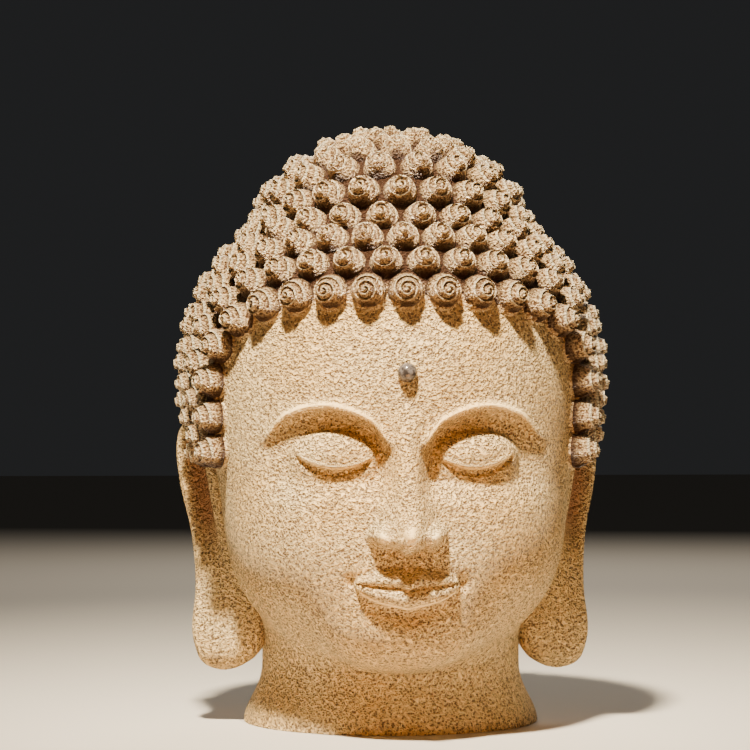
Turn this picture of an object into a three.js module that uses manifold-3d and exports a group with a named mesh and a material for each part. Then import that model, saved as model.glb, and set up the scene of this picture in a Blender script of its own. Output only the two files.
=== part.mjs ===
// Carved stone head of a buddha, cut flat under the neck, with an inlaid forehead bead.
// Millimetres. +Z is up, the face looks along -Y, the origin is the middle of the underside.

import * as THREE from 'three';
import { ConvexHull } from 'three/addons/math/ConvexHull.js';
import { mergeVertices } from 'three/addons/utils/BufferGeometryUtils.js';
import Module from 'manifold-3d';

// Bare head: skull, hair bun, mid face, jaw and chin are blended ellipsoids.
const SKULL = { y: -5, z: 262, halfWidth: 144, halfDepth: 152, halfHeight: 134 };
const BUN = { y: -1, z: 366, halfWidth: 90, halfDepth: 92, halfHeight: 64 };
const MID_FACE = { y: -37, z: 188, halfWidth: 130, halfDepth: 122, halfHeight: 140 };
const JAW = { y: -51, z: 128, halfWidth: 112, halfDepth: 108, halfHeight: 77 };
const CHIN = { y: -119, z: 80, halfWidth: 52, halfDepth: 42, halfHeight: 31 };
const SKULL_BLEND = 26;
const BUN_BLEND = 10;
const JAW_BLEND = 34;
const CHIN_BLEND = 30;

// Neck: an elliptical column over the origin that flares to the foot.
const NECK_DEPTH_LESS_WIDTH = -6;
const FOOT_HALF_WIDTH = 111.5;
const NECK_HALF_WIDTH = 97.5;
const FLARE_HEIGHT = 46;
const NECK_TOP = 190;
const NECK_BLEND = 16;

// Face, laid out on twelve equal steps of its height, hairline to chin.
const HAIRLINE_Z = 308;
const CHIN_Z = 52;
const STEP = (HAIRLINE_Z - CHIN_Z) / 12;
const BROW_Z = CHIN_Z + 8.05 * STEP;
const EYE_Z = CHIN_Z + 7 * STEP;
const NOSE_Z = CHIN_Z + 4 * STEP;
const MOUTH_Z = CHIN_Z + 2.75 * STEP;
const EYE_WIDTH = 2.4 * STEP;
const EYE_X = EYE_WIDTH;
const MOUTH_HALF_WIDTH = 1.75 * STEP;

const BROW_RISE = 14;
const BROW_RIDGE = 2.6;
const BROW_END_X = 102;
const SOCKET_DEPTH = 12;
const LID_DEPTH = 11;
const LID_TOP = 18;
const LID_DIP = 8;
const LID_STEP = 3.4;
const EYE_SLIT = 4.5;
const NOSE_ROOT_Z = BROW_Z - 6;
const NOSE_TIP_Z = NOSE_Z + 9;
const NOSE_ROOT_RISE = 8;
const NOSE_RISE = 29;
const NOSE_BALL_RISE = 4;
const NOSE_WING_X = 19;
const NOSE_WING_RISE = 15;
const UPPER_LIP_RISE = 7;
const LOWER_LIP_RISE = 8;
const UPPER_LIP_HEIGHT = 12;
const LOWER_LIP_HEIGHT = 14;
const CHEEK_RISE = 3;

// Hair: arches of snail curls round the face, over a cap that stands proud of the skin.
const CAP_THICKNESS = 6;
const CURL_HEIGHT = 14;
const CURL_PITCH = 25;
const ROW_PITCH = 22;
const FIRST_ROW_Z = 318;
const ARCHES = 14;
const CLEAR_SHARE = 0.78;
const FILL_SHARE = 0.7;
const CURL_RADIUS = 8.8;
const CURL_RIM_POINTS = 5;
const CURL_RIM_START = 0.3;
const CURL_RIM_LOW = 7.5;
const CURL_RIM_CLIMB = 2.5;
const CURL_LIFT_SHARE = 0.6;
const EDGE_LIFT_SHARE = 0.1;
const SIDEBURN_ANGLE = 64.5;
const SIDEBURN_END_Z = 200;
const TEMPLE_Z = 231;
const TEMPLE_ROUND = 3.2;
const EAR_HAIR_ANGLE = 112;
const NAPE_Z = 118;
const CROWN_Z = BUN.z + BUN.halfHeight;

// Ears: long plates with a rolled rim, a hollow and a hanging lobe. Roots and rims are measured out
// from the half width of the skull.
const EAR_TOP_Z = 237;
const LOBE_BOTTOM_Z = 39;
const EAR_SECTIONS = 13;
const EAR_ROOT_OUT = [
  [0, -19], [0.02, -30], [0.05, -39], [0.116, -46], [0.31, -42], [0.51, -26], [0.71, -18], [1, -10],
];
const EAR_ROOT_Y = [[0, -9], [0.1, -15], [0.31, -13], [0.56, -12], [0.8, -14], [1, -1]];
const EAR_RIM_OUT = [
  [0, -15], [0.02, -5], [0.05, 1.5], [0.15, 6], [0.31, 3], [0.51, 4], [0.72, 13], [0.9, 15], [1, 4],
];
const EAR_RIM_Y = [[0, -5], [0.15, 1], [0.36, 9], [0.61, 27], [0.84, 39], [0.95, 33], [1, 15]];
const EAR_THICKNESS = [
  [0, 3], [0.02, 13], [0.055, 21], [0.16, 25], [0.36, 20], [0.56, 16], [0.81, 14], [1, 8],
];
const EAR_HOLLOW = [[0, 0], [0.4, 0], [0.52, 6], [0.76, 10], [0.92, 7], [1, 0]];

// Bead inlaid in the forehead.
const BEAD_RADIUS = 7;
const BEAD_Z = 262;
const BEAD_PROUD = 2;
const BEAD_GAP = 0.3;

// Spacing of the points that carry the surface.
const FINE_STEP = 5.6;
const COARSE_EVERY = 3;
const NECK_POINTS = 44;
const NECK_ROWS = 5;
const NECK_SPREAD = 0.45;
const CENTRE = new THREE.Vector3(0, -10, 200);

const sandstone = new THREE.MeshStandardMaterial({ color: 0xb8946a, roughness: 0.85, metalness: 0 });
const pearlGrey = new THREE.MeshStandardMaterial({ color: 0x8b8a88, roughness: 0.25, metalness: 0.2 });

function clamp01(t) {
  return Math.min(Math.max(t, 0), 1);
}

function smooth(from, to, value) {
  const t = clamp01((value - from) / (to - from));
  return t * t * (3 - 2 * t);
}

function hill(distance, width) {
  return Math.exp(-((distance / width) ** 2));
}

// Smooth curve through [at, value] pairs in rising order of at.
function curve(points, at) {
  const last = points.length - 1;
  const place = Math.min(Math.max(at, points[0][0]), points[last][0]);
  let i = 0;
  while (i < last - 1 && place > points[i + 1][0]) {
    i += 1;
  }
  const slope = (k) => {
    if (k === 0 || k === last) {
      return 0;
    }
    return (points[k + 1][1] - points[k - 1][1]) / (points[k + 1][0] - points[k - 1][0]);
  };
  const span = points[i + 1][0] - points[i][0];
  const t = (place - points[i][0]) / span;
  const startPart = (1 + 2 * t) * (1 - t) ** 2 * points[i][1] + t * (1 - t) ** 2 * span * slope(i);
  const endPart = t * t * (3 - 2 * t) * points[i + 1][1] + t * t * (t - 1) * span * slope(i + 1);
  return startPart + endPart;
}

// Distance to an ellipsoid, near enough close to its surface.
function ellipsoid(x, y, z, shape) {
  const ux = x / shape.halfWidth;
  const uy = (y - shape.y) / shape.halfDepth;
  const uz = (z - shape.z) / shape.halfHeight;
  const reach = Math.hypot(ux, uy, uz);
  const steepness = Math.hypot(ux / shape.halfWidth, uy / shape.halfDepth, uz / shape.halfHeight);
  return (reach * (reach - 1)) / Math.max(steepness, 1e-6);
}

// Union of two distances with a fillet of the given width.
function join(a, b, width) {
  const overlap = Math.max(width - Math.abs(a - b), 0) / width;
  return Math.min(a, b) - (overlap * overlap * width) / 4;
}

function neckHalfWidth(z) {
  const flare = 1 - smooth(0, FLARE_HEIGHT, z);
  return NECK_HALF_WIDTH + (FOOT_HALF_WIDTH - NECK_HALF_WIDTH) * flare ** 1.4;
}

function neckField(x, y, z) {
  const halfWidth = neckHalfWidth(z);
  const halfDepth = halfWidth + NECK_DEPTH_LESS_WIDTH;
  const reach = Math.hypot(x / halfWidth, y / halfDepth);
  return Math.max((reach - 1) * halfDepth, z - NECK_TOP);
}

function browLine(side) {
  const inner = [10, BROW_Z - 12];
  const top = [0.55 * BROW_END_X, BROW_Z + BROW_RISE];
  const outer = [BROW_END_X, BROW_Z - 8];
  return curve([inner, [26, BROW_Z + 4], top, [84, BROW_Z + 8], outer], side);
}

// Place across the eye: -1 at the inner corner, 1 at the outer.
function eyeShare(side) {
  return (side - EYE_X) / (EYE_WIDTH / 2);
}

function lidLine(side) {
  const across = Math.min(Math.max(eyeShare(side), -1.3), 1.3);
  return EYE_Z - LID_DIP * Math.max(1 - across * across, -0.2) + 1.2 * across;
}

function eyeRelief(side, z) {
  const brow = browLine(side);
  const browSpan = smooth(6, 20, side) * (1 - smooth(BROW_END_X - 20, BROW_END_X + 8, side));
  const ridge = BROW_RIDGE * hill(z - brow, 5) * browSpan;
  const depth = SOCKET_DEPTH * (1 - 0.6 * smooth(34, 84, side)) * browSpan;
  const socket = depth * smooth(brow, brow - 9, z) * smooth(EYE_Z - 34, EYE_Z - 12, z);
  const across = eyeShare(side);
  const up = z - EYE_Z - 2;
  const tall = Math.max(up, 0) / LID_TOP;
  const dome = Math.max(1 - (across / 1.22) ** 2 - tall ** 2, 0) ** 0.66;
  const ball = LID_DEPTH * dome * smooth(-30, 0, up);
  const lid = lidLine(side);
  const span = 1 - smooth(0.86, 1.12, Math.abs(across));
  const bottom = lid - EYE_SLIT * Math.sqrt(Math.max(1 - (across / 1.15) ** 2, 0));
  const rim = 0.9 * hill(z - lid - 2.2, 1.8) * span;
  const openPart = smooth(lid + 0.9, lid - 0.9, z);
  const back = 0.6 * smooth(bottom + 1, bottom - 1, z) + 0.4 * smooth(bottom - 1, bottom - 12, z);
  const step = LID_STEP * openPart * (1 - back) * span;
  const lowerLid = 1.1 * hill(z - bottom + 4, 3.5) * span;
  return ridge - socket + ball + rim - step + lowerLid;
}

function noseRelief(side, z) {
  const down = clamp01((NOSE_ROOT_Z - z) / (NOSE_ROOT_Z - NOSE_TIP_Z));
  const above = smooth(NOSE_ROOT_Z + 26, NOSE_ROOT_Z - 2, z);
  const base = NOSE_Z - 3 * hill(side, 6) + 5 * smooth(14, NOSE_WING_X + 9, side);
  const under = smooth(base - 3, base + 7, z);
  const rise = (NOSE_ROOT_RISE + (NOSE_RISE - NOSE_ROOT_RISE) * down ** 1.15) * above * under;
  const halfWidth = 9 + 8 * down;
  const ridge = rise * Math.exp(-((side / halfWidth) ** 2.4));
  const ball = NOSE_BALL_RISE * hill(side, 9) * hill(z - NOSE_TIP_Z - 2, 8) * under;
  const wingReach = ((side - NOSE_WING_X) / 9.5) ** 2 + ((z - NOSE_TIP_Z) / 11) ** 2;
  const wing = NOSE_WING_RISE * Math.max(1 - wingReach, 0) ** 0.6 * under;
  const nostril = 6 * hill(side - 9.5, 4) * hill(z - base - 1, 3.2);
  return Math.max(ridge, 0.6 * ridge + wing) + ball - nostril;
}

// Cross-section of a lip: 0 at both its edges, full between them.
function lipSwell(share) {
  return Math.sqrt(clamp01(4 * share * (1 - share)));
}

// Heights of the upper lip's top, of the line between the lips and of the lower lip's foot.
function lipEdges(side) {
  const out = side / MOUTH_HALF_WIDTH;
  const taper = Math.sqrt(Math.max(1 - out ** 2, 0));
  const line = MOUTH_Z + 3.2 * out * out - 1.6 * hill(side, 5);
  const bow = 1 - 0.22 * hill(side, 4.5) + 0.1 * hill(side - 9, 5);
  const upperEdge = line + UPPER_LIP_HEIGHT * taper * bow * (1 - 0.25 * out);
  return { upperEdge, line, lowerEdge: line - LOWER_LIP_HEIGHT * taper };
}

function mouthRelief(side, z) {
  const { upperEdge, line, lowerEdge } = lipEdges(side);
  const taper = Math.sqrt(Math.max(1 - (side / MOUTH_HALF_WIDTH) ** 2, 0));
  const upper = lipSwell((z - line) / Math.max(upperEdge - line, 0.5));
  const lower = lipSwell((line - z) / Math.max(line - lowerEdge, 0.5));
  const lips = (UPPER_LIP_RISE * upper + LOWER_LIP_RISE * lower) * taper ** 0.6;
  const mound = 5 * hill(side, 40) * hill(z - MOUTH_Z, 22);
  const corner = 3 * hill(side - MOUTH_HALF_WIDTH - 2, 5) * hill(z - line, 6);
  const underLip = 7 * hill(side, 24) * hill(z - (lowerEdge - 5), 6.5);
  const lifted = smooth(upperEdge, upperEdge + 4, z) * smooth(NOSE_Z + 2, NOSE_Z - 4, z);
  const groove = 2.2 * hill(side, 4) * lifted;
  const dip = 1.5 * hill(side, 30) * hill(z - upperEdge - 3, 4);
  return lips + mound - corner - underLip - groove - dip;
}

function faceRelief(x, y, z) {
  const side = Math.abs(x);
  const front = smooth(-45, -85, y);
  const cheek = CHEEK_RISE * hill(side - 74, 34) * hill(z - NOSE_Z - 12, 40);
  return front * (eyeRelief(side, z) + noseRelief(side, z) + mouthRelief(side, z) + cheek);
}

// Distance to the bare head, negative inside.
function skinField(x, y, z) {
  const skull = join(ellipsoid(x, y, z, SKULL), ellipsoid(x, y, z, BUN), BUN_BLEND);
  const jaw = join(ellipsoid(x, y, z, JAW), ellipsoid(x, y, z, CHIN), CHIN_BLEND);
  const face = join(ellipsoid(x, y, z, MID_FACE), jaw, JAW_BLEND);
  const head = join(skull, face, SKULL_BLEND);
  return join(head, neckField(x, y, z), NECK_BLEND) - faceRelief(x, y, z);
}

// Where the ray from the centre in a direction leaves the bare head.
function skinPoint(direction) {
  let inside = 30;
  let outside = 300;
  for (let i = 0; i < 30; i += 1) {
    const middle = (inside + outside) / 2;
    const p = direction.clone().multiplyScalar(middle).add(CENTRE);
    if (skinField(p.x, p.y, p.z) < 0) {
      inside = middle;
    } else {
      outside = middle;
    }
  }
  const onSkin = direction.clone().multiplyScalar(inside).add(CENTRE);
  if (onSkin.z < 0) {
    onSkin.sub(CENTRE).multiplyScalar(CENTRE.z / (CENTRE.z - onSkin.z)).add(CENTRE);
  }
  return onSkin;
}

// Skin point at a height, on the side that an angle from the front names.
function skinAtHeight(angle, z) {
  let inside = 20;
  let outside = 260;
  const alongX = Math.sin(angle);
  const alongY = -Math.cos(angle);
  for (let i = 0; i < 30; i += 1) {
    const middle = (inside + outside) / 2;
    if (skinField(middle * alongX, SKULL.y + middle * alongY, z) < 0) {
      inside = middle;
    } else {
      outside = middle;
    }
  }
  return new THREE.Vector3(inside * alongX, SKULL.y + inside * alongY, z);
}

function skinNormal(p) {
  const d = 0.5;
  const gradient = new THREE.Vector3(
    skinField(p.x + d, p.y, p.z) - skinField(p.x - d, p.y, p.z),
    skinField(p.x, p.y + d, p.z) - skinField(p.x, p.y - d, p.z),
    skinField(p.x, p.y, p.z + d) - skinField(p.x, p.y, p.z - d),
  );
  return gradient.normalize();
}

function hairGrowsAt(turn, z) {
  if (z >= SIDEBURN_END_Z) {
    const besideEar = z < EAR_TOP_Z + 4 && turn > 82 && turn < EAR_HAIR_ANGLE;
    return !besideEar;
  }
  return z >= NAPE_Z && turn > EAR_HAIR_ANGLE;
}

// Heights of the arches over the face, stepped up the outline of the bare head and on beyond it.
function archTops() {
  const tops = [FIRST_ROW_Z];
  let last = skinAtHeight(Math.PI / 2, FIRST_ROW_Z);
  let travelled = 0;
  for (let z = FIRST_ROW_Z + 0.5; z < CROWN_Z - 1; z += 0.5) {
    const next = skinAtHeight(Math.PI / 2, z);
    travelled += next.distanceTo(last);
    last = next;
    if (travelled >= ROW_PITCH) {
      tops.push(z);
      travelled = 0;
    }
  }
  while (tops.length <= ARCHES + 2) {
    tops.push(tops[tops.length - 1] + ROW_PITCH);
  }
  return tops;
}

// The bend of an arch as turns and heights with the distance travelled, from over the face to the temple.
function archBend(top, sideTurn) {
  const steps = 240;
  const bend = [];
  let travelled = 0;
  for (let k = 0; k < steps; k += 1) {
    const lean = (Math.PI / 2) * (1 - k / (steps - 1));
    const z = TEMPLE_Z + (top - TEMPLE_Z) * Math.sin(lean) ** (2 / TEMPLE_ROUND);
    const turn = sideTurn * Math.max(Math.cos(lean), 0) ** (2 / TEMPLE_ROUND);
    if (z < CROWN_Z - 1) {
      const place = skinAtHeight(THREE.MathUtils.degToRad(turn), z);
      if (bend.length > 0) {
        travelled += place.distanceTo(bend[bend.length - 1].place);
      }
      bend.push({ turn, z, place, travelled });
    }
  }
  return bend;
}

// Turns and heights of the curls down the right half of one arch, every other arch half a step on.
function archOfCurls(index, top, pitch) {
  const sideTurn = SIDEBURN_ANGLE + ((180 - SIDEBURN_ANGLE) * index) / ARCHES;
  const bend = archBend(top, sideTurn);
  const whole = bend[bend.length - 1].travelled;
  const count = Math.max(Math.round(whole / pitch), 1);
  const shift = (index % 2) / 2;
  const spots = [];
  for (let k = shift; k < count + 0.1; k += 1) {
    const at = (k * whole) / count;
    const next = Math.max(bend.findIndex((spot) => spot.travelled >= at - 1e-9), 1);
    const before = bend[next - 1];
    const after = bend[next];
    const share = (at - before.travelled) / (after.travelled - before.travelled);
    spots.push({
      turn: before.turn + (after.turn - before.turn) * share,
      z: before.z + (after.z - before.z) * share,
    });
  }
  for (let z = TEMPLE_Z - pitch * (1 - shift); z > NAPE_Z; z -= pitch) {
    spots.push({ turn: sideTurn, z });
  }
  return spots;
}

// Places of the curls on the skin, in arches round the face; those of the first arch edge the hair.
// Closer steps along the arches then fill the gaps that are left on the bun.
function curlPlaces() {
  const tops = archTops();
  const crown = new THREE.Vector3(0, BUN.y, CROWN_Z);
  crown.liftShare = CURL_LIFT_SHARE;
  const places = [crown];
  const addArch = (index, pitch, clear, lowest) => {
    const spots = archOfCurls(index, tops[index], pitch);
    [1, -1].forEach((sign) => {
      spots.forEach(({ turn, z }) => {
        const place = skinAtHeight(THREE.MathUtils.degToRad(sign * turn), z);
        if (hairGrowsAt(turn, z) && z > lowest && nearestCurl(place, places) > clear) {
          place.liftShare = index === 0 ? EDGE_LIFT_SHARE : CURL_LIFT_SHARE;
          places.push(place);
        }
      });
    });
  };
  for (let index = 0; index <= ARCHES; index += 1) {
    addArch(index, CURL_PITCH, CLEAR_SHARE * CURL_PITCH, NAPE_Z);
  }
  for (let index = 1; index < tops.length; index += 1) {
    addArch(index, CURL_PITCH / 5, FILL_SHARE * CURL_PITCH, FIRST_ROW_Z);
  }
  return places;
}

// Two directions square to a normal: one level, one up the slope.
function slopeAxes(normal) {
  const level = new THREE.Vector3(-normal.y, normal.x, 0);
  if (level.length() < 0.05) {
    level.set(1, 0, 0);
  }
  level.normalize();
  const up = new THREE.Vector3().crossVectors(normal, level).normalize();
  return { level, up };
}

// Points of one snail curl, which leans forward from the skin: its tip and a rim that climbs once round.
function curlPoints(place, hand) {
  const normal = skinNormal(place);
  const base = place.clone().addScaledVector(normal, CAP_THICKNESS);
  const axis = new THREE.Vector3(normal.x, normal.y, normal.z * place.liftShare).normalize();
  const { level, up } = slopeAxes(axis);
  const points = [base.clone().addScaledVector(axis, CURL_HEIGHT)];
  for (let k = 0; k < CURL_RIM_POINTS; k += 1) {
    const angle = (2 * Math.PI * k) / CURL_RIM_POINTS + CURL_RIM_START;
    const rim = base.clone().addScaledVector(axis, CURL_RIM_LOW + (CURL_RIM_CLIMB * k) / CURL_RIM_POINTS);
    rim.addScaledVector(level, -hand * CURL_RADIUS * Math.cos(angle));
    rim.addScaledVector(up, -CURL_RADIUS * Math.sin(angle));
    points.push(rim);
  }
  return points;
}

// Hair: every curl, a low point between neighbours, and skin points under the free edge.
function hairPoints(places) {
  const points = [];
  places.forEach((place) => {
    points.push(...curlPoints(place, place.x < 0 ? -1 : 1));
  });
  const reach = 1.35 * CURL_PITCH;
  places.forEach((place, i) => {
    places.slice(i + 1).forEach((other) => {
      if (place.distanceTo(other) < reach) {
        const middle = place.clone().add(other).multiplyScalar(0.5);
        const onSkin = skinPoint(middle.sub(CENTRE).normalize());
        points.push(onSkin.addScaledVector(skinNormal(onSkin), CAP_THICKNESS));
      }
    });
  });
  return points;
}

// Rim and middle of the flat underside, and level rows up the flare.
function footPoints() {
  const points = [new THREE.Vector3(0, 0, 0)];
  for (let row = 0; row < NECK_ROWS; row += 1) {
    const z = (FLARE_HEIGHT * row) / NECK_ROWS;
    const halfWidth = neckHalfWidth(z);
    const halfDepth = halfWidth + NECK_DEPTH_LESS_WIDTH;
    for (let k = 0; k < NECK_POINTS; k += 1) {
      const angle = (2 * Math.PI * k) / NECK_POINTS;
      const x = halfWidth * Math.sin(angle);
      const y = -halfDepth * Math.cos(angle);
      points.push(new THREE.Vector3(x, y, z));
    }
  }
  return points;
}

// Skin points along the brows, the lids, the nose and the mouth, on both sides.
function featurePoints() {
  const points = [];
  const add = (side, z) => {
    [-1, 1].forEach((sign) => {
      const ahead = new THREE.Vector3(sign * side, -165, z).sub(CENTRE);
      points.push(skinPoint(ahead.normalize()));
    });
  };
  const browPoints = 12;
  for (let k = 0; k < browPoints; k += 1) {
    const side = 12 + ((BROW_END_X - 14) * k) / (browPoints - 1);
    add(side, browLine(side) + 1);
    add(side, browLine(side) - 7);
  }
  const lidPoints = 9;
  for (let k = 0; k < lidPoints; k += 1) {
    const share = k / (lidPoints - 1) - 0.5;
    const side = EYE_X + EYE_WIDTH * share;
    add(side, lidLine(side) + 1.5);
    add(side, lidLine(side) - 2.5);
    add(side, EYE_Z + 2 + LID_TOP * Math.sqrt(Math.max(1 - 3.4 * share * share, 0)));
  }
  const lipPoints = 6;
  for (let k = 0; k < lipPoints; k += 1) {
    const out = k / (lipPoints - 1);
    const side = MOUTH_HALF_WIDTH * out;
    const { upperEdge, line, lowerEdge } = lipEdges(side);
    add(side, line);
    add(side, (upperEdge + line) / 2);
    add(side, upperEdge);
    add(side, (lowerEdge + line) / 2);
    add(side, lowerEdge);
  }
  const wing = NOSE_WING_X;
  const noseSpots = [
    [0, NOSE_TIP_Z + 1], [8, NOSE_TIP_Z + 1], [0, NOSE_Z], [7, NOSE_Z + 1], [0, NOSE_Z - 5],
    [wing, NOSE_TIP_Z + 2], [wing, NOSE_Z + 3], [wing + 9, NOSE_TIP_Z], [wing + 3, NOSE_TIP_Z + 9],
  ];
  noseSpots.forEach(([side, z]) => add(side, z));
  for (let z = NOSE_TIP_Z + 10; z < NOSE_ROOT_Z; z += 12) {
    add(0, z);
    add(8, z);
    add(15, z);
  }
  return points;
}

function nearestCurl(point, places) {
  return Math.min(...places.map((place) => place.distanceTo(point)));
}

// Skin points on level rows, close together round the eyes, the nose and the mouth.
function openSkinPoints(places) {
  const points = [];
  const rows = Math.floor((FIRST_ROW_Z - FLARE_HEIGHT) / FINE_STEP);
  const around = COARSE_EVERY * Math.round((2 * Math.PI * SKULL.halfWidth) / FINE_STEP / COARSE_EVERY);
  for (let row = 0; row < rows; row += 1) {
    const z = FLARE_HEIGHT + row * FINE_STEP;
    for (let k = 0; k < around; k += 1) {
      const place = skinAtHeight((2 * Math.PI * k) / around, z);
      const side = Math.abs(place.x);
      const byEyes = side < EYE_X + EYE_WIDTH * 0.65 && Math.abs(z - EYE_Z - 6) < 30;
      const byMouth = side < MOUTH_HALF_WIDTH + 10 && Math.abs(z - MOUTH_Z - 6) < 36;
      const fine = place.y < MID_FACE.y && (byEyes || byMouth);
      const coarse = row % COARSE_EVERY === 0 && k % COARSE_EVERY === 0;
      if ((fine || coarse) && nearestCurl(place, places) > 0.62 * CURL_PITCH) {
        points.push(place);
      }
    }
  }
  return points;
}

// Skin points just outside the free edge of the hair.
function hairEdgePoints(places) {
  const points = [];
  const spokes = 8;
  places.forEach((place) => {
    const reach = (place.liftShare === EDGE_LIFT_SHARE ? 0.6 : 0.5) * CURL_PITCH;
    const { level, up } = slopeAxes(skinNormal(place));
    const others = places.filter((other) => other !== place);
    for (let k = 0; k < spokes; k += 1) {
      const angle = (2 * Math.PI * k) / spokes;
      const beside = place.clone();
      beside.addScaledVector(level, reach * Math.cos(angle));
      beside.addScaledVector(up, reach * Math.sin(angle));
      const onSkin = skinPoint(beside.sub(CENTRE).normalize());
      if (nearestCurl(onSkin, others) > 0.7 * CURL_PITCH) {
        points.push(onSkin);
      }
    }
  });
  return points;
}

// Direction in which the centre sees a point, with the flare of the foot spread out.
function sightLine(point) {
  const direction = point.clone().sub(CENTRE);
  if (point.z < FLARE_HEIGHT) {
    const share = NECK_SPREAD + ((1 - NECK_SPREAD) * point.z) / FLARE_HEIGHT;
    direction.set(direction.x * share, direction.y * share, FLARE_HEIGHT - CENTRE.z);
  }
  return direction.normalize();
}

// The first list with those points of the second that keep clear of it and of each other.
function addClear(kept, added, gap) {
  const result = [...kept];
  const sights = kept.map(sightLine);
  const nearness = gap / SKULL.halfWidth;
  added.forEach((point) => {
    const sight = sightLine(point);
    if (sights.every((other) => other.distanceTo(sight) > nearness)) {
      result.push(point);
      sights.push(sight);
    }
  });
  return result;
}

// Closed surface through points that the centre sees all round.
function starSurface(points) {
  const numbered = points.map((point, index) => {
    const direction = sightLine(point);
    direction.index = index;
    return direction;
  });
  const hull = new ConvexHull().setFromPoints(numbered);
  const positions = [];
  hull.faces.forEach((face) => {
    let edge = face.edge;
    const corners = [];
    do {
      corners.push(points[edge.head().point.index]);
      edge = edge.next;
    } while (edge !== face.edge);
    for (let k = 1; k < corners.length - 1; k += 1) {
      [corners[0], corners[k], corners[k + 1]].forEach((corner) => {
        positions.push(corner.x, corner.y, corner.z);
      });
    }
  });
  const geometry = new THREE.BufferGeometry();
  geometry.setAttribute('position', new THREE.Float32BufferAttribute(positions, 3));
  return geometry;
}

// Ear plan at a share of its height, 0 at the lobe and 1 at the top: the plate runs from root to rim.
function earPlan(share) {
  return {
    rootX: SKULL.halfWidth + curve(EAR_ROOT_OUT, share),
    rootY: curve(EAR_ROOT_Y, share),
    rimX: SKULL.halfWidth + curve(EAR_RIM_OUT, share),
    rimY: curve(EAR_RIM_Y, share),
    thickness: curve(EAR_THICKNESS, share),
    hollow: curve(EAR_HOLLOW, share),
  };
}

// One level section of the right ear, as points round it.
function earSection(share) {
  const plan = earPlan(share);
  const z = LOBE_BOTTOM_Z + (EAR_TOP_Z - LOBE_BOTTOM_Z) * share;
  const along = new THREE.Vector2(plan.rimX - plan.rootX, plan.rimY - plan.rootY);
  const outward = new THREE.Vector2(along.y, -along.x).normalize();
  const half = plan.thickness / 2;
  const outline = [
    [0, -0.6 * half],
    [0, 0.6 * half],
    [0.2, half],
    [0.4, half - 0.9 * plan.hollow],
    [0.66, half - plan.hollow],
    [0.82, half],
    [0.94, 0.8 * half],
    [1, 0],
    [0.93, -0.8 * half],
    [0.75, -half],
    [0.35, -half],
  ];
  return outline.map(([across, out]) => new THREE.Vector3(
    plan.rootX + along.x * across + outward.x * out,
    plan.rootY + along.y * across + outward.y * out,
    z,
  ));
}

// Closed body through level sections from the lobe up, mirrored for the left ear.
function earGeometry(sign) {
  const rings = [];
  for (let k = 0; k < EAR_SECTIONS; k += 1) {
    const share = k / (EAR_SECTIONS - 1);
    rings.push(earSection(share - 0.09 * Math.sin(2 * Math.PI * share)));
  }
  const count = rings[0].length;
  const triangles = [];
  const addTriangle = (a, b, c) => {
    const corners = sign > 0 ? [a, b, c] : [a, c, b];
    corners.forEach((corner) => triangles.push(sign * corner.x, corner.y, corner.z));
  };
  rings.slice(1).forEach((upper, level) => {
    const lower = rings[level];
    for (let k = 0; k < count; k += 1) {
      const next = (k + 1) % count;
      addTriangle(lower[k], lower[next], upper[next]);
      addTriangle(lower[k], upper[next], upper[k]);
    }
  });
  const bottom = rings[0];
  const top = rings[rings.length - 1];
  for (let k = 1; k < count - 1; k += 1) {
    addTriangle(bottom[0], bottom[k + 1], bottom[k]);
    addTriangle(top[0], top[k], top[k + 1]);
  }
  const geometry = new THREE.BufferGeometry();
  geometry.setAttribute('position', new THREE.Float32BufferAttribute(triangles, 3));
  return geometry;
}

const wasm = await Module();
wasm.setup();

function toSolid(geometry) {
  const bare = geometry.clone();
  bare.deleteAttribute('normal');
  bare.deleteAttribute('uv');
  const merged = mergeVertices(bare, 1e-4);
  return new wasm.Manifold(new wasm.Mesh({
    numProp: 3,
    vertProperties: new Float32Array(merged.attributes.position.array),
    triVerts: new Uint32Array(merged.index.array),
  }));
}

function toGeometry(solid) {
  const mesh = solid.getMesh();
  const geometry = new THREE.BufferGeometry();
  geometry.setAttribute('position', new THREE.BufferAttribute(mesh.vertProperties, 3));
  geometry.setIndex(new THREE.BufferAttribute(mesh.triVerts, 1));
  geometry.computeVertexNormals();
  return geometry;
}

function beadGeometry(radius) {
  return new THREE.SphereGeometry(radius, 14, 8);
}

// Middle of the bead, a little proud of the forehead on the centre line.
function beadCentre() {
  const onSkin = skinAtHeight(0, BEAD_Z);
  return onSkin.addScaledVector(skinNormal(onSkin), BEAD_PROUD);
}

function headGeometry() {
  const places = curlPlaces();
  const hair = [...footPoints(), ...hairPoints(places)];
  const withEdge = addClear(hair, hairEdgePoints(places), 4);
  const withFeatures = addClear(withEdge, featurePoints(), 2.6);
  const points = addClear(withFeatures, openSkinPoints(places), 4.6);
  const socket = beadGeometry(BEAD_RADIUS + BEAD_GAP);
  const middle = beadCentre();
  socket.translate(middle.x, middle.y, middle.z);
  const solid = toSolid(starSurface(points))
    .add(toSolid(earGeometry(1)))
    .add(toSolid(earGeometry(-1)))
    .subtract(toSolid(socket));
  return toGeometry(solid);
}

const figure = new THREE.Group();

const head = new THREE.Mesh(headGeometry(), sandstone);
head.name = 'head';
figure.add(head);

const bead = new THREE.Mesh(beadGeometry(BEAD_RADIUS), pearlGrey);
bead.name = 'urna';
bead.position.copy(beadCentre());
figure.add(bead);

export default figure;
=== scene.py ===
# Carved stone head of a buddha with snail curls and an inlaid forehead bead.
# Shapes are worked out in millimetres in the part's own frame and built in metres.

import math

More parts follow.
